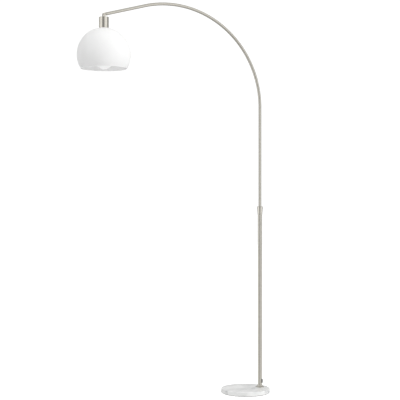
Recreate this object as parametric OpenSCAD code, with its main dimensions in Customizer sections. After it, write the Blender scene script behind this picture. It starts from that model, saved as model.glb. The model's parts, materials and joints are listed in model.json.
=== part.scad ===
// Arc floor lamp: a marble base, a telescoping pole, a bent arc tube and a tilting globe shade.
// The origin is the centre of the base on the floor, +Z is up, and the arc reaches towards -X.

/* [Overall] */
// Height from the floor to the top of the arc
overall_h = 1707.5; // [1400:0.5:2100]

/* [Base] */
// Diameter of the marble base
base_d = 216; // [170:1:260]
// Height of the base from the floor to the top of the marble
base_h = 20; // [18:0.5:30]
// Rounding of the marble's outer edges
base_round = 2.5; // [1:0.5:3]
// Distance from the edge of the base to the axis of the pole
pole_edge = 37; // [34:1:60]
// Width of the marble rim left around the ballast plate
rim_w = 13; // [10:1:16]
// Thickness of the iron ballast plate
ballast_t = 11; // [10:0.5:13]
// Thickness of the pad under the base
pad_t = 1.5; // [1:0.5:3]
// How far the pad stays inside the edge of the base
pad_inset = 4; // [3:1:8]

/* [Foot] */
// Diameter of the flange around the pole's foot
flange_d = 36; // [32:1:46]
// Height of the flange
flange_h = 12; // [11:0.5:18]
// Thickness of the flange's outer lip
flange_lip = 1.6; // [1:0.2:2.4]
// Wall of the flange's neck around the pole
flange_neck = 1; // [0.8:0.1:1.5]
// Diameter of the bolt that clamps the pole to the base
bolt_d = 8; // [6:1:10]
// Length of the threaded insert in the pole's bottom end
insert_l = 14; // [10:1:16]

/* [Lower pole] */
// Outer diameter of the lower pole
pole_d = 19; // [18:0.1:24]
// Wall of the lower pole
pole_wall = 1.2; // [0.8:0.1:1.5]
// Height from the floor to the bottom of the locking collar
collar_z = 790; // [600:5:900]
// Height of the locking collar
collar_h = 37; // [32:1:45]
// Wall of the collar at its bottom edge
collar_wall = 0.8; // [0.7:0.1:1.2]
// How much the collar's radius grows towards its top
collar_flare = 1.9; // [1:0.1:3]
// Chamfer around the top of the collar
collar_chamfer = 1.2; // [0.6:0.1:2]

/* [Cord outlet] */
// Height from the floor to the centre of the cord outlet
outlet_z = 47.5; // [46:0.5:90]
// Direction that the cord outlet faces, measured from +X
outlet_angle = -50; // [-180:5:180]
// Width of the outlet bushing's lip
outlet_w = 8.6; // [7.6:0.2:10]
// Height of the outlet bushing's lip
outlet_h = 18.6; // [15:0.2:22]
// How far the bushing stands out of the pole
outlet_proud = 2.5; // [1:0.1:3]
// Diameter of the hole for the mains cord
cord_hole_d = 5.6; // [4:0.1:5.6]

/* [Arm] */
// Outer diameter of the upper rod and the arc tube
rod_d = 13; // [10:0.1:14]
// Wall of the upper rod and the arc tube
rod_wall = 1; // [0.8:0.1:1.4]
// Radius of the bend in the arc tube, to the tube's centre line
arc_r = 433; // [340:0.5:520]
// Angle that the arc tube is bent through
arc_angle = 105; // [96:0.5:112]
// Straight length from the end of the bend to the pivot of the head
tail_l = 187; // [120:1:260]
// Length of the plain bush on the lower end of the rod
bush_l = 30; // [20:1:40]
// Length of the coupler's spigot inside the upper rod
coupler_l = 30; // [20:1:50]

/* [Head pivot] */
// Distance from the pivot down to the top of the socket cap
pivot_drop = 11.4; // [10.6:0.1:16]
// Thickness of the tongue on the end of the arc tube
tongue_t = 5; // [4:0.5:6]
// Thickness of each cheek of the fork
cheek_t = 2.75; // [2:0.25:4]
// Thickness of each friction washer
friction_t = 0.4; // [0.3:0.1:0.8]
// Diameter of the pivot screw
pivot_d = 4; // [3:0.5:5]
// Outer diameter of the threaded nipple that carries the head
nipple_d = 8; // [7:0.2:9.6]
// Bore of the nipple
nipple_bore = 5; // [4:0.5:5.5]

/* [Shade and cap] */
// Outer diameter of the socket cap
cap_d = 41.6; // [34:0.2:56]
// Height of the socket cap
cap_h = 46; // [30:1:60]
// Wall of the socket cap
cap_wall = 1.2; // [0.8:0.1:2]
// Rounding of the socket cap's top edge
cap_round = 1; // [0.5:0.1:1.5]
// Outer diameter of the globe shade
shade_d = 228; // [190:0.4:280]
// Height of the shade from its rim to its crown
shade_h = 173; // [140:1:190]
// Wall of the shade
shade_wall = 2; // [1.5:0.1:3]

/* [Lampholder and bulb] */
// Bare length of nipple between the shade's nut and the lampholder
nipple_gap = 21.5; // [10:0.5:40]
// Outer diameter of the lampholder
holder_d = 35; // [33:0.5:40]
// Height of the lampholder
holder_h = 50; // [46:1:60]
// Diameter of the globe bulb
bulb_d = 80; // [60:1:94]
// Length of the bulb with its screw cap
bulb_l = 118; // [104:1:140]

/* [Hidden] */
// Clearances
run_gap = 0.05;          // radial gap of a running or screwed fit
plate_gap = 0.5;         // gap around the ballast plate
air = 0.3;               // gap where a moving piece must not rub
hole_gap = 0.15;         // radial gap of a plain hole around the nipple
cut = 1;                 // how far a cut runs past the face that it opens

// The corner radius of a hexagon head or nut, from the size of its thread
function hex_corner(thread_d) = 0.94 * thread_d;

// Base stack
base_r = base_d / 2;
pole_x = base_r - pole_edge;
bolt_r = bolt_d / 2;
bolt_hole_r = bolt_r + 0.5;
bolt_head_h = 5.3;
bolt_washer_t = 1.6;
bolt_washer_r = bolt_r + 4.5;
counterbore_gap = 1.5;
counterbore_r = bolt_washer_r + counterbore_gap;
counterbore_h = bolt_head_h + bolt_washer_t + 2 * air;
washer_z = pad_t + counterbore_h - bolt_washer_t;

// Lower pole
pole_r = pole_d / 2;
pole_ir = pole_r - pole_wall;
collar_top = collar_z + collar_h;
collar_lip_t = 3;
collar_flare_top = 0.72;     // the flare ends at this share of the collar's height
collet_flange_t = 1.5;
collet_l = 34;
finger_h = 10;
finger_root_in = 1.2;        // the fingers start this far inside the pole's surface
finger_tip_t = 0.9;
finger_slit = 1;
pole_top = collar_top - collar_lip_t - air - finger_h - collet_flange_t;
collet_bottom = pole_top - collet_l;

// Cord outlet
outlet_face = pole_r + outlet_proud;
outlet_inner = pole_ir - 1.2;
outlet_lip_depth = 3;
neck_shrink = 1.6;           // the bushing's neck is this much smaller than its lip
neck_w = outlet_w - neck_shrink;
neck_h = outlet_h - 2 * neck_shrink;

// Arm
rod_r = rod_d / 2;
rod_ir = rod_r - rod_wall;
arc_z = overall_h - arc_r - rod_r;
arc_cx = pole_x - arc_r;
bush_top = collet_bottom - 2;
bush_bottom = bush_top - bush_l;
clip_t = 1.2;
clip_proud = 0.9;
clip_gap = 0.1;
rod_end = 1.5;               // the rod reaches this far below its lower clip
rod_bottom = bush_bottom - clip_t - rod_end;
coupler_wall = 1.5;
lead_r = 2.6;
lead_step = 0.2;         // a lead's lower stretch is this much slimmer in radius
spigot_l = 9;
plug_l = 20;

// Head pivot
bend_end_x = arc_cx + arc_r * cos(arc_angle);
bend_end_z = arc_z + arc_r * sin(arc_angle);
head_x = bend_end_x - tail_l * sin(arc_angle);
head_z = bend_end_z + tail_l * cos(arc_angle);
shoulder_t = 1.5;
eye_gap = rod_r + shoulder_t;
slot_floor = rod_r + 1;
tongue_y = tongue_t / 2;
cheek_y = tongue_y + friction_t + 2 * run_gap;
fork_y = cheek_y + cheek_t;
pivot_r = pivot_d / 2;
pivot_head_r = hex_corner(pivot_d);
pivot_head_t = 2;
pivot_nut_t = 0.8 * pivot_d;
screw_slot_w = 1;
screw_slot_depth = 0.9;
lead_hole_r = lead_r + 0.4;
fork_boss_wall = 1.8;
fork_bridge_t = 1.6;
nipple_roof = 1.2;           // solid left between the nipple and the slot of the fork

// Heights in the head, measured from the pivot
nipple_r = nipple_d / 2;
nipple_top = -slot_floor - nipple_roof;
cap_r = cap_d / 2;
cap_top = -pivot_drop;
cap_bottom = cap_top - cap_h;
shade_r = shade_d / 2;
shade_ir = shade_r - shade_wall;
function sag(sphere_r, at_r) = sphere_r - sqrt(sphere_r * sphere_r - at_r * at_r);
shade_top = cap_bottom + sag(shade_r, cap_r - cap_wall) - run_gap;
shade_z = shade_top - shade_r;
shade_rim = shade_top - shade_h;
seat_washer_r = 15;
seat_washer_t = 2;
seat_top = shade_top - shade_wall - sag(shade_ir, seat_washer_r) - run_gap;
nut_h = 4;
nut_bottom = seat_top - seat_washer_t - nut_h;

// Lampholder and bulb, measured from the pivot
holder_r = holder_d / 2;
holder_top = nut_bottom - nipple_gap;
holder_wall = 2;
holder_skirt = 22;           // height of the lampholder's cap
holder_neck = 4;
holder_slope = 6;
holder_spigot = 5;
holder_split = holder_top - holder_skirt;
holder_mouth = holder_top - holder_h;
nipple_bottom = holder_top - 6;
block_top = holder_top - 18;
block_t = 6;
screw_r = 13;
shell_gap = 0.4;             // radial gap between the bulb's thread and the screw shell
shell_wall = 0.5;
shell_r = screw_r + shell_gap + shell_wall;
shell_inset = 3;
contact_t = 1;
bulb_tip = block_top - block_t - 4;
screw_l = 26;
tip_t = 1.5;
insulator_t = 3;
thread_pitch = 3;
thread_ridges = 5;
ridge_r = 1.1;
cap_sheet = 1.6;
glass_top = bulb_tip - screw_l;
bulb_r = bulb_d / 2;
bulb_z = bulb_tip - bulb_l + bulb_r;
bulb_neck_r = 14.5;
bulb_glass_t = 1;
// The neck's fillet touches the neck and the globe: its radius follows from the neck's height
bulb_neck_h = glass_top - bulb_z;
bulb_fillet = (bulb_neck_h * bulb_neck_h + bulb_neck_r * bulb_neck_r - bulb_r * bulb_r)
    / (2 * (bulb_r - bulb_neck_r));

$fn = 96;

// ---- shared shapes ----

// A tube from z0 to z1
module tube(outer_r, inner_r, z0, z1) {
    translate([0, 0, z0])
        linear_extrude(z1 - z0)
            ring(outer_r, inner_r);
}

module ring(outer_r, inner_r) {
    difference() {
        circle(outer_r);
        circle(inner_r);
    }
}

// A hexagon whose corners are taken off by a chamfer at each end
module hex_piece(corner_r, h) {
    bevel = 0.12 * corner_r;
    intersection() {
        cylinder(h = h, r = corner_r, $fn = 6);
        rotate_extrude() polygon([
            [0, 0], [corner_r - bevel, 0], [corner_r + bevel, bevel],
            [corner_r + bevel, h - bevel], [corner_r - bevel, h], [0, h]
        ]);
    }
}

// Half of a bar's section with its outer top and bottom corners rounded, for turning
module rounded_half(r, h, top_round, bottom_round) {
    translate([0, bottom_round]) square([r, h - top_round - bottom_round]);
    square([r - bottom_round, h]);
    square([r - top_round, h]);
    translate([r - top_round, h - top_round]) circle(top_round);
    translate([r - bottom_round, bottom_round]) circle(bottom_round);
}

// An upright slot with round ends
module slot(w, h) {
    square([w, h - w], center = true);
    for (side = [-1, 1]) translate([0, side * (h - w) / 2]) circle(w / 2);
}

module at_pole() translate([pole_x, 0, 0]) children();

// The end of the bend, with +Z along the tube
module at_bend_end() {
    translate([bend_end_x, 0, bend_end_z]) rotate([0, -arc_angle, 0]) children();
}

// The pivot of the head, with +Z along the arc tube
module at_tongue() translate([head_x, 0, head_z]) rotate([0, -arc_angle, 0]) children();

module at_head() translate([head_x, 0, head_z]) children();

// Carries a section along the arc: the bend, then the straight tail
module along_arc(tail) {
    at_bend_end() {
        translate([-arc_r, 0, 0]) rotate([-90, 0, 0])
            rotate_extrude(angle = arc_angle, $fn = 360) translate([arc_r, 0]) children();
        linear_extrude(tail) children();
    }
}

// The cord outlet's own frame: +X points out of the pole, +Z is up
module at_outlet() at_pole() translate([0, 0, outlet_z]) rotate([0, 0, outlet_angle]) children();

// An upright slot-shaped bar from one distance to another along the outlet's axis
module outlet_bar(w, h, x0, x1) {
    translate([x0, 0, 0]) rotate([90, 0, 90]) linear_extrude(x1 - x0) slot(w, h);
}

// ---- base ----

module base_pad() {
    color("dimgray") difference() {
        cylinder(h = pad_t, r = base_r - pad_inset);
        at_pole() translate([0, 0, -cut])
            cylinder(h = pad_t + 2 * cut, r = counterbore_r + 1);
    }
}

module ballast_plate() {
    color("slategray") difference() {
        translate([0, 0, pad_t]) cylinder(h = ballast_t, r = base_r - rim_w - plate_gap);
        at_pole() translate([0, 0, pad_t - cut])
            cylinder(h = counterbore_h + cut, r = counterbore_r);
        at_pole() cylinder(h = base_h, r = bolt_hole_r);
    }
}

module marble_base() {
    color("whitesmoke") difference() {
        translate([0, 0, pad_t]) rotate_extrude() intersection() {
            rounded_half(base_r, base_h - pad_t, base_round, base_round);
            square([base_r, base_h]);
        }
        translate([0, 0, pad_t - cut]) cylinder(h = ballast_t + cut, r = base_r - rim_w);
        at_pole() cylinder(h = base_h + cut, r = bolt_hole_r);
    }
}

module bolt_washer() {
    color("silver") at_pole() tube(bolt_washer_r, bolt_r + 0.2, washer_z, washer_z + bolt_washer_t);
}

module clamp_bolt() {
    head_z0 = washer_z - bolt_head_h;
    color("silver") at_pole() {
        translate([0, 0, head_z0]) hex_piece(hex_corner(bolt_d), bolt_head_h);
        translate([0, 0, washer_z])
            cylinder(h = base_h + insert_l - 1 - washer_z, r = bolt_r - run_gap);
    }
}

module foot_flange() {
    neck_r = pole_r + run_gap + flange_neck;
    sweep_r = min(flange_d / 2 - neck_r, flange_h - flange_lip);
    color("silver") at_pole() translate([0, 0, base_h]) rotate_extrude() difference() {
        union() {
            square([flange_d / 2, flange_lip]);
            square([neck_r, flange_h]);
            square([neck_r + sweep_r, flange_lip + sweep_r]);
        }
        translate([neck_r + sweep_r, flange_lip + sweep_r]) circle(sweep_r);
        square([pole_r + run_gap, 2 * flange_h]);
    }
}

// ---- lower pole ----

module pole_insert() {
    color("gray") at_pole() tube(pole_ir - run_gap, bolt_r, base_h, base_h + insert_l);
}

module lower_pole() {
    color("silver") difference() {
        at_pole() tube(pole_r, pole_ir, base_h, pole_top);
        at_outlet() outlet_bar(neck_w, neck_h, 0, pole_r + cut);
    }
}

module cord_bushing() {
    color("black") at_outlet() difference() {
        union() {
            difference() {
                outlet_bar(outlet_w, outlet_h, pole_r - outlet_lip_depth, outlet_face);
                cylinder(h = 2 * outlet_h, r = pole_r, center = true);
            }
            outlet_bar(neck_w - 2 * run_gap, neck_h - 2 * run_gap, outlet_inner, pole_r + 0.5);
        }
        rotate([0, 90, 0]) cylinder(h = outlet_face + 1, r = cord_hole_d / 2);
    }
}

// The mains lead inside the pole, from the outlet up to the rod
module pole_lead() {
    color("black") {
        at_outlet() rotate([0, 90, 0]) cylinder(h = outlet_inner - air, r = lead_r - lead_step);
        at_pole() translate([0, 0, outlet_z - lead_r])
            cylinder(h = rod_bottom - 1 - outlet_z + lead_r, r = lead_r);
    }
}

// The nylon collet: a sleeve inside the pole, a flange on its end and split tapered fingers
module collet() {
    grip_r = rod_r + run_gap;
    color("ivory") at_pole() difference() {
        union() {
            tube(pole_ir - run_gap, grip_r, collet_bottom, pole_top);
            tube(pole_r - 0.2, grip_r, pole_top, pole_top + collet_flange_t);
            translate([0, 0, pole_top + collet_flange_t]) rotate_extrude()
                polygon([[grip_r, 0], [pole_r - finger_root_in, 0],
                    [grip_r + finger_tip_t, finger_h], [grip_r, finger_h]]);
        }
        for (turn = [0, 90]) rotate([0, 0, turn])
            translate([-pole_d, -finger_slit / 2, pole_top + collet_flange_t + 1])
                cube([2 * pole_d, finger_slit, finger_h]);
    }
}

// The collar that turns to squeeze the collet's fingers onto the rod
module lock_collar() {
    bottom_r = pole_r + collar_wall;
    top_r = bottom_r + collar_flare;
    bore_r = pole_r + run_gap;
    grip_r = rod_r + run_gap;
    taper_z = pole_top - collar_z + collet_flange_t;
    color("silver") at_pole() translate([0, 0, collar_z]) rotate_extrude()
        polygon([
            [bore_r, 0], [bottom_r, 0], [top_r, collar_h * collar_flare_top],
            [top_r, collar_h - collar_chamfer], [top_r - collar_chamfer, collar_h],
            [rod_r + air, collar_h], [rod_r + air, collar_h - collar_lip_t],
            [grip_r + finger_tip_t + air, collar_h - collar_lip_t], [bore_r, taper_z]
        ]);
}

// ---- arm ----

module guide_bush() {
    color("ivory") at_pole() tube(pole_ir - run_gap, rod_r + run_gap, bush_bottom, bush_top);
}

// The rings that hold the bush on the rod, one below it and one above it
module bush_clips() {
    color("dimgray") at_pole() for (z = [bush_bottom - clip_gap - clip_t, bush_top + clip_gap])
        tube(rod_r + clip_proud, rod_r, z, z + clip_t);
}

module upper_rod() {
    color("silver") at_pole() tube(rod_r, rod_ir, rod_bottom, arc_z);
}

// The coupler inside the joint between the rod and the arc tube; its short upper spigot
// is slimmer, because the arc tube starts to bend there
module rod_coupler() {
    color("gray") at_pole() {
        tube(rod_ir - run_gap, rod_ir - coupler_wall, arc_z - coupler_l, arc_z);
        tube(rod_ir - air, rod_ir - coupler_wall, arc_z, arc_z + spigot_l);
    }
}

module arc_tube() {
    color("silver") along_arc(tail_l - eye_gap - shoulder_t) ring(rod_r, rod_ir);
}

// The plug in the end of the arc tube, with the tongue that the head pivots on
module arc_end_tongue() {
    color("silver") at_tongue() {
        tube(rod_ir - run_gap, lead_hole_r, -eye_gap - shoulder_t - plug_l, -eye_gap - shoulder_t);
        tube(rod_r, lead_hole_r, -eye_gap - shoulder_t, -eye_gap);
        rotate([90, 0, 0]) linear_extrude(tongue_t, center = true) difference() {
            union() {
                circle(rod_r);
                translate([-rod_r, -eye_gap]) square([2 * rod_r, eye_gap]);
            }
            circle(pivot_r + run_gap);
        }
    }
}

// The lead inside the rod and the arc tube
module arm_lead() {
    color("black") {
        at_pole() translate([0, 0, rod_bottom])
            cylinder(h = arc_z + 1 - rod_bottom, r = lead_r - lead_step);
        along_arc(tail_l - eye_gap) circle(lead_r);
    }
}

// ---- head pivot ----

module head_fork() {
    boss_r = nipple_r + fork_boss_wall;
    color("silver") at_head() difference() {
        union() {
            for (side = [-1, 1]) translate([0, side * (cheek_y + cheek_t / 2), 0])
                rotate([90, 0, 0]) linear_extrude(cheek_t, center = true) union() {
                    circle(rod_r);
                    translate([-boss_r, -slot_floor - fork_bridge_t])
                        square([2 * boss_r, slot_floor + fork_bridge_t]);
                }
            translate([-boss_r, -fork_y, -slot_floor - fork_bridge_t])
                cube([2 * boss_r, 2 * fork_y, fork_bridge_t]);
            translate([0, 0, cap_top])
                cylinder(h = pivot_drop - slot_floor - fork_bridge_t / 4, r = boss_r);
        }
        rotate([90, 0, 0]) cylinder(h = 4 * fork_y, r = pivot_r + run_gap, center = true);
        translate([0, 0, cap_top - cut])
            cylinder(h = nipple_top - cap_top + cut + run_gap, r = nipple_r + run_gap);
        translate([0, 0, cap_top])
            cylinder(h = pivot_drop - slot_floor + cut, r = nipple_bore / 2);
    }
}

module friction_washers() {
    color("dimgray") at_head() for (side = [-1, 1])
        translate([0, side * (tongue_y + run_gap + friction_t / 2), 0]) rotate([90, 0, 0])
            tube(rod_r - 1.5, pivot_r + run_gap, -friction_t / 2, friction_t / 2);
}

module pivot_screw() {
    dome_r = 2 * pivot_head_r;
    color("silver") at_head() translate([0, -fork_y, 0]) rotate([90, 0, 0]) difference() {
        union() {
            intersection() {
                cylinder(h = pivot_head_t, r = pivot_head_r);
                translate([0, 0, pivot_head_t - dome_r]) sphere(dome_r);
            }
            translate([0, 0, -2 * fork_y - pivot_nut_t + 0.4])
                cylinder(h = 2 * fork_y + pivot_nut_t, r = pivot_r);
        }
        translate([-pivot_head_r - cut, -screw_slot_w / 2, pivot_head_t - screw_slot_depth])
            cube([2 * (pivot_head_r + cut), screw_slot_w, screw_slot_depth + cut]);
    }
}

module pivot_nut() {
    color("silver") at_head() translate([0, fork_y, 0]) rotate([-90, 0, 0]) difference() {
        hex_piece(pivot_head_r, pivot_nut_t);
        translate([0, 0, -cut]) cylinder(h = pivot_nut_t + 2 * cut, r = pivot_r);
    }
}

// ---- cap, shade and their fastening ----

module nipple() {
    color("gold") at_head() tube(nipple_r, nipple_bore / 2, nipple_bottom, nipple_top);
}

module socket_cap() {
    color("silver") at_head() translate([0, 0, cap_bottom]) rotate_extrude() difference() {
        intersection() {
            rounded_half(cap_r, cap_h, cap_round, cap_round / 4);
            square([cap_r, cap_h]);
        }
        translate([0, -cut]) square([cap_r - cap_wall, cap_h - cap_wall + cut]);
        square([nipple_r + hole_gap, cap_h + cut]);
    }
}

module shade() {
    color("white") at_head() translate([0, 0, shade_z]) difference() {
        sphere(shade_r, $fn = 160);
        sphere(shade_ir, $fn = 160);
        translate([-shade_d, -shade_d, shade_rim - shade_z - shade_d])
            cube([2 * shade_d, 2 * shade_d, shade_d]);
        cylinder(h = shade_d, r = nipple_r + 2 * hole_gap);
    }
}

module shade_washer() {
    color("black") at_head()
        tube(seat_washer_r, nipple_r + hole_gap, seat_top - seat_washer_t, seat_top);
}

module shade_nut() {
    color("gold") at_head() translate([0, 0, nut_bottom]) difference() {
        hex_piece(hex_corner(nipple_d), nut_h);
        translate([0, 0, -cut]) cylinder(h = nut_h + 2 * cut, r = nipple_r + run_gap);
    }
}

// The two insulated wires' sheath inside the nipple
module head_lead() {
    color("black") at_head() translate([0, 0, block_top])
        cylinder(h = nipple_top - block_top, r = nipple_bore / 2 - air);
}

// ---- lampholder ----

module holder_cap() {
    shoulder_z = holder_skirt - holder_neck;
    inner_r = holder_r - holder_wall;
    color("dimgray") at_head() translate([0, 0, holder_split]) rotate_extrude() difference() {
        polygon([
            [0, 0], [holder_r, 0], [holder_r, shoulder_z - holder_slope],
            [nipple_r + 2 * holder_wall, shoulder_z], [nipple_r + 3, holder_skirt],
            [0, holder_skirt]
        ]);
        polygon([
            [-cut, -cut], [inner_r, -cut], [inner_r, shoulder_z - holder_slope - holder_wall / 2],
            [nipple_r + holder_wall, shoulder_z - holder_wall], [-cut, shoulder_z - holder_wall]
        ]);
        square([nipple_r + run_gap, holder_skirt + cut]);
    }
}

module holder_body() {
    bore_r = shell_r + run_gap;
    color("dimgray") at_head() {
        tube(holder_r, bore_r, holder_mouth, holder_split);
        tube(holder_r - holder_wall - run_gap, bore_r, holder_split, holder_split + holder_spigot);
    }
}

module terminal_block() {
    color("white") at_head() tube(shell_r, nipple_bore / 2, block_top - block_t, block_top);
}

module screw_shell() {
    color("gold") at_head()
        tube(shell_r, shell_r - shell_wall, holder_mouth + shell_inset, block_top - block_t);
}

module centre_contact() {
    color("gold") at_head() {
        translate([0, 0, bulb_tip + run_gap]) cylinder(h = contact_t, r = 4);
        translate([0, 0, bulb_tip + contact_t + run_gap])
            cylinder(h = block_top - block_t - bulb_tip - contact_t - run_gap,
                r = nipple_bore / 2 + 0.8);
    }
}

// ---- bulb ----

// Half of the globe's section, with its neck, cut off where the screw cap begins; inset
// moves the surface inwards
module globe_half(inset) {
    fillet_r = bulb_fillet + inset;
    fillet_x = bulb_neck_r + bulb_fillet;
    reach = bulb_r + bulb_fillet;
    touch = [fillet_x, bulb_neck_h] * ((bulb_r - inset) / reach);
    intersection() {
        union() {
            circle(bulb_r - inset);
            difference() {
                polygon([[0, 0], touch, [fillet_x, bulb_neck_h], [0, bulb_neck_h]]);
                translate([fillet_x, bulb_neck_h]) circle(fillet_r);
            }
        }
        translate([0, -bulb_d]) square([bulb_d, bulb_d + bulb_neck_h]);
    }
}

module bulb_globe() {
    color("white") at_head() translate([0, 0, bulb_z]) rotate_extrude() difference() {
        globe_half(0);
        globe_half(bulb_glass_t);
    }
}

// The bulb's screw cap, with the ridges of its thread
module bulb_screw_cap() {
    cap_l = screw_l - tip_t - insulator_t;
    color("silver") at_head() translate([0, 0, glass_top]) rotate_extrude() difference() {
        union() {
            square([screw_r - ridge_r / 2, cap_l]);
            for (ridge = [1 : thread_ridges])
                translate([screw_r - ridge_r, 2 + ridge * thread_pitch])
                    circle(ridge_r, $fn = 24);
        }
        translate([0, -cut]) square([screw_r - cap_sheet - ridge_r / 2, cap_l]);
    }
}

module bulb_insulator() {
    color("black") at_head() translate([0, 0, bulb_tip - tip_t - insulator_t]) rotate_extrude()
        polygon([[0, 0], [screw_r - 3, 0], [5, insulator_t], [0, insulator_t]]);
}

module bulb_contact() {
    color("silver") at_head() translate([0, 0, bulb_tip - tip_t]) cylinder(h = tip_t, r = 4.5);
}

base_pad();
ballast_plate();
marble_base();
bolt_washer();
clamp_bolt();
foot_flange();
pole_insert();
lower_pole();
cord_bushing();
pole_lead();
collet();
lock_collar();
guide_bush();
bush_clips();
upper_rod();
rod_coupler();
arc_tube();
arc_end_tongue();
arm_lead();
head_fork();
friction_washers();
pivot_screw();
pivot_nut();
nipple();
socket_cap();
shade();
shade_washer();
shade_nut();
head_lead();
holder_cap();
holder_body();
terminal_block();
screw_shell();
centre_contact();
bulb_globe();
bulb_screw_cap();
bulb_insulator();
bulb_contact();
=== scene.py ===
# %% [markdown]
# # An arc floor lamp, from working parts to finished looks
# A floor lamp like this one is a marble disc, a brushed nickel pole that telescopes, a tube bent
# into an arc, and a white dome shade that tilts on a small friction knuckle. The engineering
# model already has every part in its place, at its real size. This lesson adds what an engineer
# leaves out: the grain of the metal, the veins of the marble, real screw threads, soft edges,
# and the light that shows them.
#
# The frame comes first. Its parts stay where they are, and everything else is placed from it.

# %% Load the frame
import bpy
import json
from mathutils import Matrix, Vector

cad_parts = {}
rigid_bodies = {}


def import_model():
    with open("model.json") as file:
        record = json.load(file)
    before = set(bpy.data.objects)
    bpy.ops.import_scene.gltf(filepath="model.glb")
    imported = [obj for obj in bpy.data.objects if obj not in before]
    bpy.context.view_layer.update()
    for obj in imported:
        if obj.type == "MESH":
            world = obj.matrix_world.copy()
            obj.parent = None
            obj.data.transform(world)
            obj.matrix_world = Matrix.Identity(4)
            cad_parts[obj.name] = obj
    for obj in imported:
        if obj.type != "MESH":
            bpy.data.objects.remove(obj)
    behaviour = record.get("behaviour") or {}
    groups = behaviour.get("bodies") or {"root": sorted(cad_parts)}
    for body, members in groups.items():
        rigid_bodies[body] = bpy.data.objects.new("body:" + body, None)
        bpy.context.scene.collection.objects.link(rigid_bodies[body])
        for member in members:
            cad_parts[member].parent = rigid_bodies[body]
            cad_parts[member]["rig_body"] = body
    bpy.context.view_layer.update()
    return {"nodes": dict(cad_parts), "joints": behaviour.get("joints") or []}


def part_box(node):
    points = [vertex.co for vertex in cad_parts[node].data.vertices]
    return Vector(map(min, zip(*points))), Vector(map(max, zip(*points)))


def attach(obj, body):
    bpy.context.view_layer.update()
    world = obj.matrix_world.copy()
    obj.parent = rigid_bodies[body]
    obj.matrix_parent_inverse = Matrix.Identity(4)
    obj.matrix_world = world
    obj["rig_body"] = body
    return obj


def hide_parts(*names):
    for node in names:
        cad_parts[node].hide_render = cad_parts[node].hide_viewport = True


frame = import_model()

# %% The tools of the lesson
import json
import math

import bmesh
import bpy
import numpy as np
from mathutils import Vector

MM = 0.001
TURN = 2 * math.pi
scene = bpy.context.scene


# %% [markdown]
# Places and sizes are read from the frame, so that a new piece lands on its part without any
# fitting. A node's box gives its outer size. The joints give the points that things turn about.

# %% Read places from the frame
class Box:
    """The size and place of a part: its radius across X, its axis, its bottom and its top."""

    def __init__(self, node):
        low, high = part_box(node)
        self.radius = (high.x - low.x) / 2
        self.axis = ((low.x + high.x) / 2, (low.y + high.y) / 2)
        self.bottom, self.top = low.z, high.z
        self.height = high.z - low.z


def joint_point(name):
    """Where a joint sits, in metres."""
    joint = next(j for j in frame["joints"] if j["name"] == name)
    return np.array(joint["pos_m"])


pole = Box("lower_pole")
head_pivot = joint_point("head_tilt")
print("the pole's axis is", round(pole.axis[0] / MM), "mm from the middle of the base")
print("the shade hangs", round((pole.axis[0] - head_pivot[0]) / MM), "mm from the pole")

# %% [markdown]
# ## The camera
# The lamp is seen from a little above its waist with a long lens, so its uprights stay upright.
# The arm comes towards the camera, turned 22 degrees out of the picture's plane. The camera is
# level. It looks past the pole on the shade's side, and it has a slight shift instead of a tilt.

# %% Place the camera
ARM_TURN = math.radians(22)
CAMERA_DISTANCE = 4.651
CAMERA_ASIDE = 0.268
CAMERA_HEIGHT = 0.873
LENS = 93.6                    # focal length in millimetres
SHIFT = -0.01                  # moves the view down by this share of its width
forward = np.array([math.sin(ARM_TURN), math.cos(ARM_TURN), 0])
sideways = np.array([math.cos(ARM_TURN), -math.sin(ARM_TURN), 0])

camera = bpy.data.objects.new("camera", bpy.data.cameras.new("camera"))
scene.collection.objects.link(camera)
scene.camera = camera
camera.location = (np.array([*pole.axis, CAMERA_HEIGHT])
                   - CAMERA_DISTANCE * forward - CAMERA_ASIDE * sideways)
camera.rotation_euler = (math.pi / 2, 0, -ARM_TURN)
camera.data.lens = LENS
camera.data.shift_y = SHIFT
print("the camera stands at", [round(v, 2) for v in camera.location])


# %% [markdown]
# ## From formulas to meshes
# Nearly every piece of a lamp is turned on a lathe, spun over a former or drawn as tube. Each of
# those is a section carried round a circle or along a line, so each is a surface with two
# parameters. `surface` takes the whole grid of points at once and makes the mesh. Where all the
# points of a row meet on the axis, they are merged, so that a pole is closed.

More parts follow.
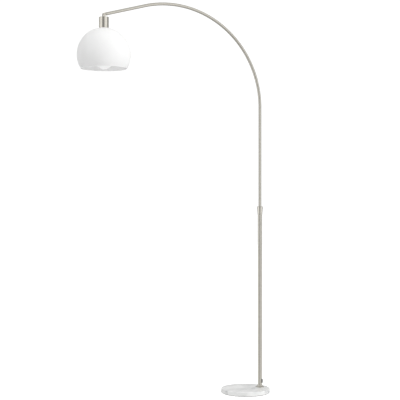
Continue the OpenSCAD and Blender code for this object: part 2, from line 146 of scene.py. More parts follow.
# %% A grid of points becomes a mesh
def surface(name, points, loop=True, sharp=35):
    """A mesh from points[row, column]. Columns always wrap round, rows wrap when loop is true.
    The UV map is in metres: U runs across the rows, V round the columns."""
    rows, columns = points.shape[:2]
    grid = np.arange(rows * columns).reshape(rows, columns)
    grid = np.concatenate([grid, grid[:, :1]], axis=1)
    if loop:
        grid = np.concatenate([grid, grid[:1]], axis=0)
    quads = np.stack([grid[:-1, :-1], grid[:-1, 1:], grid[1:, 1:], grid[1:, :-1]], axis=-1)

    flat = points.reshape(-1, 3)
    across = np.linalg.norm(flat[grid[1:, 0]] - flat[grid[:-1, 0]], axis=1)
    u = np.concatenate([[0], np.cumsum(across)])
    ring = flat[grid[:, 1:]] - flat[grid[:, :-1]]
    v = np.linspace(0, np.linalg.norm(ring, axis=2).sum(axis=1).max(), grid.shape[1])
    uu, vv = np.meshgrid(u, v, indexing="ij")
    uv = np.stack([uu, vv], axis=-1)
    corners = np.stack([uv[:-1, :-1], uv[:-1, 1:], uv[1:, 1:], uv[1:, :-1]], axis=2)

    a, b, c = (flat[quads.reshape(-1, 4)[:, k]] for k in (0, 1, 2))
    d = flat[quads.reshape(-1, 4)[:, 3]]
    volume = (np.cross(a, b) * c).sum() + (np.cross(a, c) * d).sum()
    quads, corners = quads.reshape(-1, 4), corners.reshape(-1, 4, 2)
    if volume < 0:
        quads, corners = quads[:, ::-1], corners[:, ::-1]

    mesh = bpy.data.meshes.new(name)
    mesh.from_pydata(flat, [], quads.tolist())
    layer = mesh.uv_layers.new(name="UVMap")
    layer.data.foreach_set("uv", corners.astype(np.float32).ravel())
    close_poles(mesh)
    mesh.shade_smooth()
    mesh.set_sharp_from_angle(angle=math.radians(sharp))
    return mesh


def close_poles(mesh):
    """Merges points that lie on each other, where a row has shrunk to a point."""
    work = bmesh.new()
    work.from_mesh(mesh)
    bmesh.ops.remove_doubles(work, verts=work.verts, dist=1e-7)
    work.to_mesh(mesh)
    work.free()


# %% [markdown]
# A section is drawn by its corners, as on a workshop sketch, and each corner gets its radius.
# Real edges are never perfectly sharp: the thin bright line that light draws along a rounded
# edge is what makes metal look like metal. Long straight stretches are divided as well, because
# smooth shading bends the light across a long face that ends in a small radius.

# %% Rounded outlines
def outline(corners, radii, step=1 * MM, arc_points=5):
    """A closed outline of straight stretches, with an arc of its own radius at each corner.
    The arc touches both sides: its centre lies on the corner's bisector, radius / sin(half the
    corner's angle) from the corner."""
    corners = np.asarray(corners, float)
    radii = np.broadcast_to(np.asarray(radii, float), len(corners))
    stretches = []
    for k, (corner, radius) in enumerate(zip(corners, radii)):
        before, after = corners[k - 1] - corner, corners[(k + 1) % len(corners)] - corner
        before, after = before / np.linalg.norm(before), after / np.linalg.norm(after)
        half = math.acos(np.clip(before @ after, -1, 1)) / 2
        bisector = (before + after) / np.linalg.norm(before + after)
        centre = corner + bisector * radius / math.sin(half)
        start = corner + before * radius / math.tan(half)
        stop = corner + after * radius / math.tan(half)
        t = np.linspace(0, 1, arc_points)[:, None]
        chord = (1 - t) * (start - centre) + t * (stop - centre)
        arc = centre + radius * chord / np.maximum(np.linalg.norm(chord, axis=1), 1e-12)[:, None]
        stretches.append(arc if radius > 0 else corner[None])
    return divided(np.concatenate(stretches), step)


def divided(points, step, closed=True):
    """The same outline with points added, so that none are more than step apart."""
    ends = np.concatenate([points, points[:1]]) if closed else points
    gaps = np.linalg.norm(np.diff(ends, axis=0), axis=1)
    along = np.concatenate([[0], np.cumsum(gaps)])
    cuts = [np.linspace(a, b, max(1, math.ceil((b - a) / step)), endpoint=False)
            for a, b in zip(along[:-1], along[1:]) if b > a]
    where = np.concatenate(cuts if closed else [*cuts, along[-1:]])
    return np.stack([np.interp(where, along, ends[:, k]) for k in (0, 1)], axis=1)


# %% Turning a section round an axis
def turned(section, box, sides=96, relief=None):
    """A point at radius r and height h of the section goes to (x + r cos a, y + r sin a, h) for
    every angle a. relief(r, h, a) is added to the radius: it cuts threads and ribs."""
    angle = np.linspace(0, TURN, sides, endpoint=False)[None, :]
    radius, height = section[:, :1], section[:, 1:]
    if relief is not None:
        radius = radius + relief(radius, height, angle)
    x = box.axis[0] + radius * np.cos(angle)
    y = box.axis[1] + radius * np.sin(angle)
    return np.stack([x, y, height + 0 * angle], axis=-1)


# %% [markdown]
# A new piece stands for a part of the frame: it hides that part, rides on the same body, and takes
# the finish it is given. One function says all three, so none can be forgotten.

# %% A piece that stands for a part
SLOT = {name: node.material_slots[0].name for name, node in frame["nodes"].items()}


def stands_for(node, name, points, finish, **how):
    """Makes the mesh, gives it its finish, and lets it take over from the part."""
    made = bpy.data.objects.new(name, surface(name, points, **how))
    scene.collection.objects.link(made)
    made.data.materials.append(finish)
    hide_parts(node)
    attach(made, frame["nodes"][node]["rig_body"])
    print(f"{name}: {len(made.data.polygons)} faces, stands for {node}")
    return made


# %% [markdown]
# ## Finishes
# A finish is more than a colour. Each material here starts from one shader whose fixed values
# are set directly on it. Patterns are then added for what a hand lens would show: scratches,
# grain, veins, mould flow. They are measured in metres on the piece, so their size is real.

# %% A short way to write node trees
class Finish:
    """A material with one Principled shader, and short calls for what its patterns need."""

    def __init__(self, name, colour, roughness, metallic=0.0, **sockets):
        self.material = bpy.data.materials.new(name)
        self.material.use_nodes = True
        self.tree = self.material.node_tree
        self.shader = self.tree.nodes["Principled BSDF"]
        fixed = {"Base Color": (*colour, 1), "Roughness": roughness, "Metallic": metallic}
        for socket, value in {**fixed, **sockets}.items():
            self.shader.inputs[socket].default_value = value
        self.coordinates = self.tree.nodes.new("ShaderNodeTexCoord")

    def node(self, kind, inputs, **settings):
        """A node with its settings, and each input either linked or set."""
        made = self.tree.nodes.new(kind)
        for key, value in settings.items():
            setattr(made, key, value)
        for key, value in inputs.items():
            if isinstance(value, bpy.types.NodeSocket):
                self.tree.links.new(value, made.inputs[key])
            else:
                made.inputs[key].default_value = value
        return made.outputs[0]

    def place(self, stretch=(1, 1, 1), turn=0.0, source="Object"):
        """Coordinates in metres, stretched and turned about Z."""
        vector = self.coordinates.outputs[source]
        turned_by = self.node("ShaderNodeMapping", {"Vector": vector, "Rotation": (0, 0, turn)})
        return self.node("ShaderNodeMapping", {"Vector": turned_by, "Scale": stretch})

    def noise(self, vector, scale, detail=2.0, **inputs):
        """Smooth noise, about one bump every 1 / scale metres."""
        values = {"Vector": vector, "Scale": scale, "Detail": detail, **inputs}
        return self.node("ShaderNodeTexNoise", values)

    def levels(self, value, stops):
        """A value turned into a colour or a grey, by (position, grey or colour) stops."""
        ramp = self.node("ShaderNodeValToRGB", {"Fac": value}).node
        elements = ramp.color_ramp.elements
        while len(elements) < len(stops):
            elements.new(0.5)
        for element, (position, tone) in zip(elements, stops):
            element.position = position
            element.color = (*tone, 1) if isinstance(tone, tuple) else (tone, tone, tone, 1)
        return ramp.outputs["Color"]

    def mix(self, factor, a, b, blend="MIX"):
        """Colour a, changed towards b by the factor."""
        made = self.tree.nodes.new("ShaderNodeMix")
        made.data_type, made.blend_type = "RGBA", blend
        for socket, value in ((made.inputs[0], factor), (made.inputs[6], a), (made.inputs[7], b)):
            if isinstance(value, bpy.types.NodeSocket):
                self.tree.links.new(value, socket)
            else:
                socket.default_value = value if isinstance(value, float) else (*value, 1)
        return made.outputs[2]

    def drive(self, socket, value):
        """Connects a pattern to a socket of the shader."""
        self.tree.links.new(value, self.shader.inputs[socket])

    def bump(self, height, depth, strength=1.0):
        """Relief of the given depth in metres, from a height of 0 to 1."""
        inputs = {"Height": height, "Distance": depth, "Strength": strength}
        self.drive("Normal", self.node("ShaderNodeBump", inputs))


# %% [markdown]
# ### Brushed nickel
# The poles, the arc and the cap are plated, then brushed with a fine belt while they turn, so
# the scratches run round them. Such a surface mirrors the room in long streaks along the tube.
# The scratches are noise squeezed a few hundred times along the tube's axis: on the upright
# pieces that is Z, and on the bent tube it is the U of its own UV map, which follows the bend.

# %% Nickel, brushed round the tube
NICKEL = (0.62, 0.595, 0.535)
SCRATCHES_PER_METRE = 5200


def brushed_nickel(name, source="Object", squeeze=(0.012, 0.012, 1), colour=NICKEL, rough=1.0):
    """Fine scratches across the axis, with slow changes in how the light is caught."""
    finish = Finish(name, colour, 0.27 * rough, 1.0)
    scratches = finish.noise(finish.place(squeeze, source=source), SCRATCHES_PER_METRE, 3.0)
    bands = finish.noise(finish.place(squeeze, source=source), SCRATCHES_PER_METRE / 11, 2.0)
    handling = finish.noise(finish.place(source=source), 38.0, 3.0)
    darker, lighter = (tuple(c * k for c in colour) for k in (0.9, 1.06))
    tone = finish.levels(bands, [(0.25, darker), (0.75, lighter)])
    finish.drive("Base Color", finish.mix(0.22, tone, finish.levels(
        scratches, [(0.3, darker), (0.7, lighter)])))
    fine = finish.levels(scratches, [(0.2, 0.22 * rough), (0.8, 0.34 * rough)])
    slow = finish.levels(handling, [(0.3, 0.22 * rough), (0.75, 0.36 * rough)])
    finish.drive("Roughness", finish.mix(0.5, fine, slow))
    finish.bump(scratches, 0.004 * MM, 0.3)
    return finish.material


# The tubes take a copy of the nickel 8% darker than the cap's: painted shade that tones the tubes
# down.
SHADED_TUBE_NICKEL = tuple(c * 0.92 for c in NICKEL)
nickel = brushed_nickel("brushed_nickel_cap")
nickel_tube_shaded = brushed_nickel("brushed_nickel_tube", colour=SHADED_TUBE_NICKEL, rough=1.25)
nickel_bent = brushed_nickel("brushed_nickel_along_the_arc", "UV", (1, 0.012, 1), SHADED_TUBE_NICKEL, 1.25)
print("nickel:", nickel.name, nickel_tube_shaded.name, nickel_bent.name)

# %% [markdown]
# ### White marble
# The base is sawn from white marble, rounded at its edges and polished. Its veins are thin
# seams where the stone once cracked, so they are drawn as the places where a warped noise
# crosses its middle value: such a line never ends in mid air. Broad grey clouds lie under them,
# and a fine sugar grain lies over everything.

# %% Marble with veins, clouds and grain
STONE, CLOUD, VEIN = (0.82, 0.82, 0.81), (0.68, 0.685, 0.68), (0.40, 0.41, 0.415)


def white_marble(name):
    """Veins are where |noise - 0.5| is nearly nought; their strength changes along them."""
    finish = Finish(name, STONE, 0.16, **{"Coat Weight": 0.25, "Coat Roughness": 0.08})
    place = finish.place((1, 2.1, 1.5), math.radians(-24))
    warp = finish.node("ShaderNodeTexNoise", {"Vector": place, "Scale": 9.0, "Detail": 3.0})
    shift = finish.node("ShaderNodeVectorMath", {0: warp.node.outputs["Color"], 1: (0.09,) * 3},
                        operation="MULTIPLY")
    bent = finish.node("ShaderNodeVectorMath", {0: place, 1: shift}, operation="ADD")

    def veins(scale, width):
        field = finish.noise(bent, scale, 4.0, Roughness=0.55)
        off = finish.node("ShaderNodeMath", {0: field, 1: 0.5}, operation="SUBTRACT")
        away = finish.node("ShaderNodeMath", {0: off}, operation="ABSOLUTE")
        return finish.levels(away, [(0.0, 1.0), (width, 0.25), (3.2 * width, 0.0)])

    presence = finish.levels(finish.noise(place, 11.0), [(0.36, 0.0), (0.62, 1.0)])
    clouds = finish.levels(finish.noise(bent, 7.0, 4.0),
                           [(0.36, STONE), (0.52, CLOUD), (0.66, STONE)])
    strong = finish.mix(presence, (0.0,) * 3, veins(8.5, 0.014))
    stone = finish.mix(strong, clouds, VEIN)
    stone = finish.mix(0.55, stone, finish.mix(veins(26.0, 0.012), stone, CLOUD))
    grain = finish.noise(finish.place(), 1500.0, 1.0)
    stone = finish.mix(0.07, stone, finish.levels(grain, [(0.3, 0.62), (0.7, 1.0)]))
    finish.drive("Base Color", stone)
    finish.drive("Roughness", finish.levels(grain, [(0.2, 0.13), (0.8, 0.2)]))
    finish.bump(finish.noise(finish.place(), 420.0, 2.0), 0.02 * MM, 0.25)
    return finish.material


marble = white_marble("white_marble")
print("marble:", len(marble.node_tree.nodes), "nodes")

# %% [markdown]
# ### Opal acrylic and opal glass
# The shade is moulded from white acrylic that lets light in and scatters it, so its shadows
# stay pale and soft. Subsurface scattering with a reach of a few millimetres gives that. The
# mould leaves faint flow marks, and years of dusting leave hairlines that only show in the gloss.
# The bulb is glass with an opal coat on the inside: smoother, brighter, and without hairlines.
# It is given a faint glow of its own though the lamp is off: painted light that keeps it bright
# under the shade.

# %% Two opal whites
def opal(name, colour, roughness, reach, hairline, **sockets):
    """A white that scatters light, with slow mould flow and fine hairlines in its gloss."""
    depth = {"Subsurface Weight": 0.8, "Subsurface Radius": (1, 1, 1),
             "Subsurface Scale": reach, "IOR": 1.49, **sockets}
    finish = Finish(name, colour, roughness, **depth)
    flow = finish.noise(finish.place((1, 1, 0.35)), 24.0, 3.0)
    faint = tuple(c * 0.975 for c in colour)
    finish.drive("Base Color", finish.levels(flow, [(0.3, faint), (0.7, colour)]))
    wipe = finish.noise(finish.place((1, 1, 14)), 180.0, 3.0)
    marks = [(0.35, roughness * (1 - hairline)), (0.75, roughness * (1 + hairline))]
    finish.drive("Roughness", finish.levels(wipe, marks))
    finish.bump(flow, 0.05 * MM, 0.2)
    return finish.material


acrylic = opal("opal_acrylic", (0.9, 0.9, 0.895), 0.34, 11 * MM, 0.03)
# A faint glow on the bulb's glass, though the lamp is off: painted light.
glass = opal("opal_glass", (0.97, 0.97, 0.965), 0.12, 0.5 * MM, 0.05,
             **{"Emission Color": (1, 1, 1, 1), "Emission Strength": 0.14})
print("opal:", acrylic.name, glass.name)

# %% [markdown]
# ### The small metals
# Brass, zinc-plated steel and thin aluminium are machined or rolled, so they share one recipe:
# lathe marks at right angles to the axis, and a slow stain where hands and air have been.

# %% Machined metals
def machined(name, colour, stain, roughness):
    """Lathe marks every third of a millimetre, and a stain that comes and goes."""
    finish = Finish(name, colour, roughness, 1.0)
    marks = finish.noise(finish.place((0.02, 0.02, 1)), 3000.0, 2.0)
    patch = finish.noise(finish.place(), 170.0, 4.0)
    finish.drive("Base Color", finish.levels(patch, [(0.38, stain), (0.62, colour)]))
    finish.drive("Roughness", finish.mix(0.5, finish.levels(marks, [(0.2, roughness * 0.8),
                                                                  (0.8, roughness * 1.2)]),
                                         finish.levels(patch, [(0.3, roughness * 1.5),
                                                               (0.7, roughness * 0.9)])))
    finish.bump(marks, 0.02 * MM, 0.4)
    return finish.material


brass = machined("turned_brass", (0.72, 0.50, 0.22), (0.50, 0.33, 0.14), 0.24)
zinc = machined("zinc_plated_steel", (0.62, 0.63, 0.63), (0.52, 0.51, 0.45), 0.32)
aluminium = machined("rolled_aluminium", (0.78, 0.78, 0.77), (0.66, 0.66, 0.65), 0.28)
print("metals:", brass.name, zinc.name, aluminium.name)

# %% [markdown]
# ### Plastics, rubber, ceramic and iron
# The rest are dull surfaces that differ in their grain: moulded phenolic has a fine orange peel,
# rubber is pitted, cast iron is lumpy under its paint, and glazed ceramic is smooth with specks.
# One function covers them: a body colour, a second colour in patches, and relief of one size.

# %% Dull surfaces
def moulded(name, colour, patch_colour, roughness, grain_size, relief, **sockets):
    """Grain of the given size in metres gives the relief; slower patches change the colour."""
    finish = Finish(name, colour, roughness, **sockets)
    grain = finish.noise(finish.place(), 1 / grain_size, 3.0)
    patches = finish.noise(finish.place(), 1 / (12 * grain_size), 3.0)
    finish.drive("Base Color", finish.levels(patches, [(0.35, colour), (0.7, patch_colour)]))
    finish.drive("Roughness", finish.levels(grain, [(0.3, roughness * 0.85),
                                                    (0.7, roughness * 1.15)]))
    finish.bump(grain, relief, 0.6)
    return finish.material


phenolic = moulded("moulded_phenolic", (0.028, 0.027, 0.026), (0.045, 0.043, 0.04), 0.38,
                   0.5 * MM, 0.02 * MM)
rubber = moulded("black_rubber", (0.03, 0.03, 0.03), (0.06, 0.058, 0.055), 0.75,
                 0.7 * MM, 0.08 * MM)
bushing_rubber = moulded("grey_bushing", (0.06, 0.06, 0.057), (0.085, 0.083, 0.08), 0.55,
                         0.4 * MM, 0.02 * MM)
iron = moulded("painted_iron", (0.07, 0.072, 0.075), (0.11, 0.1, 0.09), 0.55, 2 * MM, 0.15 * MM,
               Metallic=0.3)
ceramic = moulded("glazed_ceramic", (0.8, 0.79, 0.76), (0.72, 0.70, 0.66), 0.2, 1 * MM, 0.01 * MM)
nylon = moulded("natural_nylon", (0.72, 0.69, 0.6), (0.66, 0.62, 0.52), 0.42, 0.8 * MM,
                0.01 * MM, **{"Subsurface Weight": 0.2, "Subsurface Radius": (1, 1, 1),
                                "Subsurface Scale": 1 * MM})
sheath = moulded("lead_sheath", (0.035, 0.035, 0.037), (0.05, 0.05, 0.05), 0.5, 0.6 * MM,
                 0.03 * MM)
print("dull surfaces:", phenolic.name, rubber.name, iron.name, ceramic.name, nylon.name)

# %% [markdown]
# Every part of the frame gets the finish that its slot names. Parts that a finer piece will
# stand for are given theirs as well, because it costs nothing and leaves no part bare.

# %% Finish every part of the frame
FINISH = {
    "brushed_nickel": nickel, "marble": marble, "cast_iron": iron, "zinc_steel": zinc,
    "black_rubber": rubber, "lead_sheath": sheath, "nylon": nylon, "opal_acrylic": acrylic,
    "phenolic": phenolic, "ceramic": ceramic, "brass": brass, "opal_glass": glass,
    "bulb_aluminium": aluminium,
}
for name, node in frame["nodes"].items():
    node.material_slots[0].material = FINISH[SLOT[name]]
frame["nodes"]["cord_bushing"].material_slots[0].material = bushing_rubber
# The poles and the foot flange take the darker copy of the nickel, which is painted shade.
for name in ("lower_pole", "upper_rod", "foot_flange"):
    frame["nodes"][name].material_slots[0].material = nickel_tube_shaded
print("finishes on", len(frame["nodes"]), "parts")

# %% [markdown]
# ## The arc tube
# The real tube is bent cold round a wheel, then runs straight to the knuckle. In the frame its
# grain could only run up and down, because it is read from the object's own axes. A tube carried
# along its own centre line has a UV map that bends with it, and the brushing follows.
#
# The tail touches the bend's circle, so it makes a right angle with the radius there. That gives
# its length from the distance between the circle's centre and the pivot, and then the bend's angle.

# %% Find the bend and the tail
arc_low, arc_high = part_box("arc_tube")
tube_r = Box("upper_rod").radius
arc_r = arc_high.z - arc_low.z - tube_r
arc_centre = np.array([pole.axis[0] - arc_r, 0, arc_low.z])
to_pivot = head_pivot - arc_centre
tail = math.sqrt(to_pivot @ to_pivot - arc_r ** 2)
arc_angle = math.atan2(to_pivot[2], to_pivot[0]) - math.atan2(tail, arc_r)
bend_length = arc_r * arc_angle
print("bent through", round(math.degrees(arc_angle), 1), "degrees at", round(arc_r / MM, 1), "mm")


# %% Carry the tube's wall along them
TUBE_WALL = 1 * MM
EYE = 8 * MM                   # from the pivot to the shoulder of the knuckle
SHOULDER = 1.5 * MM


def arm_line(distance):
    """Centre line and outward normal at distances along the arm. Up to the end of the bend the
    angle is distance / radius; after that the point goes straight on along the last tangent."""
    angle = np.minimum(distance / arc_r, arc_angle)
    straight = np.maximum(distance - bend_length, 0)
    out = np.stack([np.cos(angle), 0 * angle, np.sin(angle)], axis=-1)
    tangent = np.stack([-np.sin(angle), 0 * angle, np.cos(angle)], axis=-1)
    return arc_centre + arc_r * out + straight[..., None] * tangent, out


tube_length = bend_length + tail - EYE - SHOULDER
wall = outline([(0, tube_r - TUBE_WALL), (0, tube_r), (tube_length, tube_r),
                (tube_length, tube_r - TUBE_WALL)], 0.25 * MM, step=5 * MM, arc_points=4)
line, out = arm_line(wall[:, 0])
angle = np.linspace(0, TURN, 40, endpoint=False)[None, :, None]
ring = np.cos(angle) * out[:, None] + np.sin(angle) * np.array([0, 1, 0])
arc_points = line[:, None] + wall[:, 1][:, None, None] * ring
stands_for("arc_tube", "arc_tube_brushed", arc_points, nickel_bent)
print("the tube is", round(tube_length / MM), "mm long, with a straight tail of", round(tail / MM))


# %% [markdown]
# ## The shade
# A globe with its bottom cut off, moulded with a 2 mm wall and a crown hole for the threaded
# nipple. Its section is an outer arc, a rounded rim, an inner arc back up, and the edge of the
# hole. Turning that section gives one closed shell with no lathe marks and no facets.

# %% Turn the shade
SHADE_WALL = 2 * MM
CROWN_HOLE = 4.3 * MM


def arc_of(radius, start, stop, centre, step=2 * MM):
    """Points of a circle of that radius, from one angle above the horizontal to another."""
    count = max(6, math.ceil(abs(stop - start) * radius / step))
    a = np.linspace(start, stop, count)
    return np.stack([radius * np.cos(a), centre + radius * np.sin(a)], axis=1)


shade = Box("shade")
shade_centre = shade.top - math.sqrt(shade.radius ** 2 - CROWN_HOLE ** 2)
inner_r = shade.radius - SHADE_WALL
rim_round = SHADE_WALL / 2


def rim_angle(radius):
    """The angle at which an arc of the shade stands just above the rim's rounding."""
    return math.asin((shade.bottom + rim_round - shade_centre) / radius)


outer = arc_of(shade.radius, math.acos(CROWN_HOLE / shade.radius), rim_angle(shade.radius),
               shade_centre)
inner = arc_of(inner_r, rim_angle(inner_r), math.acos(CROWN_HOLE / inner_r), shade_centre)
rim_middle = (outer[-1] + inner[0]) / 2
across = (outer[-1] - inner[0]) / 2
turn = np.linspace(0, math.pi, 9)[1:-1, None]
rim = rim_middle + np.cos(turn) * across + np.sin(turn) * np.array([0, -rim_round])
shade_section = np.concatenate([outer, rim, inner])
stands_for("shade", "shade_moulded", turned(shade_section, shade, 160), acrylic)
print("the shade is", round(2 * shade.radius / MM), "mm across and",
      round((shade.top - shade.bottom) / MM), "mm high")

# %% [markdown]
# ## The socket cap
# A drawn nickel cup that hides where the nipple enters the shade. The edge where its top was
# drawn over the tool is round, and its mouth is trimmed and broken with a file.

# %% Turn the cap
CAP_WALL = 1.2 * MM
NIPPLE_CLEARANCE = 0.15 * MM
cap = Box("socket_cap")
nipple = Box("nipple")
cap_inner = cap.radius - CAP_WALL
cap_hole = nipple.radius + NIPPLE_CLEARANCE
cap_section = outline(
    [(cap_hole, cap.top), (cap.radius, cap.top), (cap.radius, cap.bottom),
     (cap_inner, cap.bottom), (cap_inner, cap.top - CAP_WALL), (cap_hole, cap.top - CAP_WALL)],
    np.array([0.2, 1.2, 0.3, 0.3, 0.6, 0.2]) * MM)
stands_for("socket_cap", "socket_cap_drawn", turned(cap_section, cap, 128), nickel)


# %% [markdown]
# ## Screw threads
# A thread is a ridge that climbs one pitch for each turn. On a turned surface that is a wave in
# `height / pitch - angle / turn`, added to the radius. Metric threads have a sharp V, and the
# thread of a bulb is rolled into thin sheet, so it is a soft wave on both of its sides.

# %% The thread's formula
def thread(pitch, depth, bottom, top, rolled=False):
    """Relief for turned(). The wave goes from 0 at the root to 1 at the crest, and fades out
    over one pitch at each end. A cut thread only lowers the wall that is at the crest radius."""
    def relief(radius, height, angle):
        phase = height / pitch - angle / TURN
        wave = 0.5 + 0.5 * np.cos(TURN * phase)
        if not rolled:
            wave = 1 - np.abs(2 * (phase % 1) - 1)
        ends = np.clip(np.minimum(height - bottom, top - height) / pitch, 0, 1)
        outside = 1.0 if rolled else radius > radius.max() - 1e-6
        return -depth * outside * ends * (1 - wave)
    return relief


# %% The threaded nipple
NIPPLE_BORE_R = 2.5 * MM
NIPPLE_PITCH = 1 * MM
nipple_section = outline(
    [(NIPPLE_BORE_R, nipple.bottom), (nipple.radius, nipple.bottom),
     (nipple.radius, nipple.top), (NIPPLE_BORE_R, nipple.top)], 0.0, step=NIPPLE_PITCH / 8)
NIPPLE_THREAD_DEPTH = 0.5 * MM
cut = thread(NIPPLE_PITCH, NIPPLE_THREAD_DEPTH, nipple.bottom, nipple.top)
stands_for("nipple", "nipple_threaded", turned(nipple_section, nipple, 48, cut), brass)
print("the nipple has", round(nipple.height / NIPPLE_PITCH), "turns of thread")

# %% [markdown]
# ## The bulb
# The globe is one arc that runs into the neck through a fillet which touches both. The fillet's
# centre lies level with the top of the neck, so its radius follows from the neck's height and
# the two radii. The glass is 1 mm thick, and it is turned as a closed shell with two poles.

# %% Turn the globe
GLASS = 1 * MM
NECK_R = 14.5 * MM
bulb = Box("bulb_globe")
bulb_centre = bulb.bottom + bulb.radius
neck = bulb.top - bulb_centre
fillet = (neck ** 2 + NECK_R ** 2 - bulb.radius ** 2) / (2 * (bulb.radius - NECK_R))
touch = math.atan2(neck, NECK_R + fillet)


def globe_section(inset):
    """From the bottom pole up the globe to the touching point, then along the fillet."""
    ball = arc_of(bulb.radius - inset, -math.pi / 2, touch, bulb_centre, 1.5 * MM)
    bend = np.linspace(math.pi + touch, math.pi, 24)[1:]
    fillet_r = fillet + inset
    hollow = np.stack([NECK_R + fillet + fillet_r * np.cos(bend),
                       bulb.top + fillet_r * np.sin(bend)], axis=1)
    return np.concatenate([ball, hollow])


shell = np.concatenate([globe_section(0), globe_section(GLASS)[::-1]])
stands_for("bulb_globe", "bulb_globe_blown", turned(shell, bulb, 112), glass, loop=False)
print("the bulb is", round(2 * bulb.radius / MM), "mm across, its fillet", round(fillet / MM, 1))

# %% [markdown]
# The bulb's screw cap and the lampholder's shell are both rolled from thin sheet to the same
# pitch, 3.6 mm, so one screws into the other. Because the wave has the same phase in both,
# there is an even gap between them all the way round.

# %% Roll the bulb's cap and the lampholder's shell
BULB_PITCH = 3.6 * MM
ROLL = 1.1 * MM
SHELL_ROLL = 0.44 * MM
SHEET = 0.5 * MM
SHEET_STEP = 0.4 * MM
screw_cap = Box("bulb_screw_cap")
cap_sheet = outline(
    [(screw_cap.radius - SHEET, screw_cap.bottom), (screw_cap.radius, screw_cap.bottom),
     (screw_cap.radius, screw_cap.top), (screw_cap.radius - SHEET, screw_cap.top)],
    0.0, step=SHEET_STEP)
rolled = thread(BULB_PITCH, ROLL, screw_cap.bottom, screw_cap.top, rolled=True)
stands_for("bulb_screw_cap", "bulb_screw_cap_rolled", turned(cap_sheet, screw_cap, 72, rolled),
           aluminium)

holder_shell = Box("screw_shell")
shell_sheet = outline(
    [(holder_shell.radius - SHEET, holder_shell.bottom), (holder_shell.radius, holder_shell.bottom),
     (holder_shell.radius, holder_shell.top), (holder_shell.radius - SHEET, holder_shell.top)],
    0.0, step=SHEET_STEP)
rolled = thread(BULB_PITCH, SHELL_ROLL, screw_cap.bottom, holder_shell.top, rolled=True)
stands_for("screw_shell", "screw_shell_rolled", turned(shell_sheet, holder_shell, 72, rolled),
           brass)

# %% [markdown]
# ## The lampholder
# Its lower half is gripped when the two halves are screwed together, so it has ribs. They are
# rounded bars round the skirt that start and stop short of its edges.

# %% Rib the lampholder's skirt
RIBS = 30
RIB_DEPTH = 0.6 * MM
RIB_MARGIN = 3 * MM
body = Box("holder_body")
holder_cap = Box("holder_cap")
FIT = 0.05 * MM
HOLDER_WALL = 2 * MM
spigot_r = body.radius - HOLDER_WALL - FIT
bore = holder_shell.radius + FIT
skirt_top = holder_cap.bottom


def ribs(radius, height, angle):
    """Valleys between the ribs, where the wall is at its full radius."""
    valley = np.clip(0.5 - 0.9 * np.cos(RIBS * angle), 0, 1)
    inside = np.minimum(height - body.bottom, skirt_top - height) - RIB_MARGIN
    return -RIB_DEPTH * valley * np.clip(inside / MM, 0, 1) * (radius > radius.max() - 1e-6)


skirt = outline(
    [(bore, body.bottom), (body.radius, body.bottom), (body.radius, skirt_top),
     (spigot_r, skirt_top), (spigot_r, body.top), (bore, body.top)],
    np.array([0.4, 0.8, 0.3, 0.0, 0.3, 0.3]) * MM)
stands_for("holder_body", "holder_body_ribbed", turned(skirt, body, RIBS * 8, ribs), phenolic)

# %% [markdown]
# ## The clamp bolt
# It is out of sight in the base, and seen only when the lamp lies on its side. A hexagon is a
# circle whose radius depends on the angle: the distance to a flat, divided by the cosine of the
# angle from that flat's middle. The chamfer takes whatever stands outside a cone.

# %% Turn the clamp bolt
bolt = Box("clamp_bolt")
BOLT_R = 3.95 * MM
BOLT_PITCH = 1.25 * MM
THREAD_DEPTH = 0.7 * MM
PLAIN_SHANK = 3 * MM
HEAD_H = 5.3 * MM
CHAMFER_START = 0.4 * MM       # how far outside the flats the chamfer begins
CHAMFER_SLOPE = 1.7
head_top = bolt.bottom + HEAD_H
bolt_pole = Box("bolt_washer")
flat = bolt.radius * math.cos(math.pi / 6)


def hexagon(radius, height, angle):
    """Pulls the head's wall in to the six flats, and the corners in under the chamfer."""
    off = (angle + TURN / 12) % (TURN / 6) - TURN / 12
    chamfer = flat + CHAMFER_START + (height - bolt.bottom) * CHAMFER_SLOPE
    wanted = np.minimum(flat / np.cos(off), np.maximum(chamfer, flat))
    on_head = radius > bolt.radius - 1e-6
    cut = thread(BOLT_PITCH, THREAD_DEPTH, head_top + PLAIN_SHANK, bolt.top)
    shank = cut(np.where(on_head, 0, radius), height, angle)
    return np.where(on_head, wanted - radius, shank)


bolt_corners = np.array([
    (0, bolt.bottom), (bolt.radius, bolt.bottom), (bolt.radius, head_top),
    (BOLT_R, head_top), (BOLT_R, bolt.top), (0, bolt.top)])
bolt_section = divided(bolt_corners, BOLT_PITCH / 8, closed=False)
stands_for("clamp_bolt", "clamp_bolt_threaded", turned(bolt_section, bolt_pole, 48, hexagon), zinc,
           loop=False)

# %% [markdown]
# ## Floor and light
# The lamp stands on a plain, very pale floor in a white studio. A dull surface and a polished
# one ask different things of such a room. The shade and the marble need an even white light
# with one large soft lamp from the right and above, which draws the slow shadow down the
# shade's left side. Polished metal shows what it faces instead, so for mirrored light the room
# has a dim strip behind the camera and two bright walls beside it. They draw the dark and light
# streaks along the tubes. The floor is kept out of both, so that it can fade into white.

# %% The floor
def pale_floor(name):
    """Paper white, with some light of its own so that it fades into the background."""
    finish = Finish(name, (0.93, 0.93, 0.93), 0.9)
    finish.shader.inputs["Emission Color"].default_value = (1, 1, 1, 1)
    finish.shader.inputs["Emission Strength"].default_value = 0.3
    fibre = finish.noise(finish.place(), 60.0, 4.0)
    finish.drive("Base Color", finish.levels(fibre, [(0.3, 0.92), (0.7, 0.94)]))
    return finish.material


FLOOR_RADII = np.array([0.0, 0.5, 2.0, 14.0])[:, None]
floor_angle = np.linspace(0, TURN, 96, endpoint=False)
floor_x, floor_y = FLOOR_RADII * np.cos(floor_angle), FLOOR_RADII * np.sin(floor_angle)
floor_points = np.stack([floor_x, floor_y, 0 * floor_x], axis=-1)
floor = bpy.data.objects.new("floor", surface("floor", floor_points, loop=False))
scene.collection.objects.link(floor)
floor.data.materials.append(pale_floor("pale_floor"))
floor.visible_diffuse = False
floor.visible_glossy = False
print("the floor reaches", FLOOR_RADII.max(), "m")

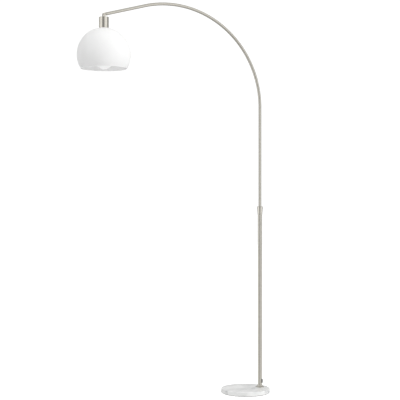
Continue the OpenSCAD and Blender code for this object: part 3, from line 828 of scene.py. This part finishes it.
# %% The room
# How bright the walls are, by degrees to the camera's right of straight behind the camera
MIRRORED = [(-180, 0.50), (-130, 0.62), (-88, 0.85), (-60, 1.75), (-34, 0.70), (-10, 0.10),
            (12, 0.60), (38, 1.15), (64, 1.70), (96, 0.40), (135, 0.52), (180, 0.50)]
DULL = [(-180, 1.28), (-100, 1.12), (-45, 0.62), (0, 0.88), (60, 1.20), (120, 1.25), (180, 1.25)]

world = bpy.data.worlds.new("studio")
scene.world = world
world.use_nodes = True
tree = world.node_tree
tree.nodes.clear()


def world_node(kind, inputs=(), **settings):
    """A node of the world with its settings, and each input either linked or set."""
    made = tree.nodes.new(kind)
    for key, value in settings.items():
        setattr(made, key, value)
    for key, value in dict(inputs).items():
        if isinstance(value, bpy.types.NodeSocket):
            tree.links.new(value, made.inputs[key])
        else:
            made.inputs[key].default_value = value
    return made


def world_ramp(value, stops, easing="EASE"):
    """A grey level from a value of 0 to 1, by (position, level) stops."""
    ramp = world_node("ShaderNodeValToRGB", {"Fac": value})
    ramp.color_ramp.interpolation = easing
    while len(ramp.color_ramp.elements) < len(stops):
        ramp.color_ramp.elements.new(0.5)
    for element, (position, level) in zip(ramp.color_ramp.elements, stops):
        element.position = position
        element.color = (level, level, level, 1)
    return ramp.outputs["Color"]


direction = world_node("ShaderNodeTexCoord").outputs["Generated"]
facing = world_node("ShaderNodeMapping", {"Vector": direction,
                                          "Rotation": (0, 0, ARM_TURN + math.pi / 2)})
around = world_node("ShaderNodeTexGradient", {"Vector": facing.outputs[0]}, gradient_type="RADIAL")
up = world_node("ShaderNodeSeparateXYZ", {"Vector": direction}).outputs["Z"]
height = world_node("ShaderNodeMapRange", {"Value": up, "From Min": -1.0, "From Max": 1.0})
height = height.outputs["Result"]

steep = world_ramp(height, [(0.0, 1.0), (0.3, 0.15), (0.5, 0.0), (0.7, 0.15), (1.0, 1.0)])


def room_light(walls, ground, ceiling):
    """Walls that change with the direction, which give way to the ground and the ceiling."""
    stops = [(0.5 + turn / 360, level) for turn, level in walls]
    level = world_node("ShaderNodeMix", data_type="RGBA")
    wall = world_ramp(around.outputs["Fac"], stops)
    vertical = world_ramp(height, [(0.0, ground), (1.0, ceiling)])
    for socket, value in zip((0, 6, 7), (steep, wall, vertical)):
        tree.links.new(value, level.inputs[socket])
    return world_node("ShaderNodeBackground", {"Color": level.outputs[2]}).outputs[0]


ray = world_node("ShaderNodeLightPath").outputs
paper = world_node("ShaderNodeBackground", {"Color": (1, 1, 1, 1), "Strength": 1.1})
room = world_node("ShaderNodeMixShader", {
    0: ray["Is Glossy Ray"], 1: room_light(DULL, 1.28, 0.98), 2: room_light(MIRRORED, 0.62, 0.70)})
seen = world_node("ShaderNodeMixShader", {0: ray["Is Camera Ray"], 1: room.outputs[0],
                                          2: paper.outputs[0]})
world_node("ShaderNodeOutputWorld", {"Surface": seen.outputs[0]})
scene.view_settings.view_transform = "Standard"
print("the room has", len(MIRRORED), "strips for metal and", len(DULL), "for dull surfaces")

# %% The large soft lamp
# Its place, from the shade: to the camera's right, towards the camera, and up
KEY_SIDE, KEY_FRONT, KEY_UP = 2.3, 2.1, 1.6
key = bpy.data.objects.new("key", bpy.data.lights.new("key", "AREA"))
key.data.shape, key.data.size, key.data.energy = "DISK", 2.0, 52.0
scene.collection.objects.link(key)
key_offset = KEY_SIDE * sideways - KEY_FRONT * forward + KEY_UP * np.array([0, 0, 1])
key.location = head_pivot + key_offset
key.rotation_euler = Vector(-key_offset).to_track_quat("-Z", "Y").to_euler()
key.visible_glossy = False
print("the lamp is", round(float(np.linalg.norm(key_offset)), 1), "m from the shade")
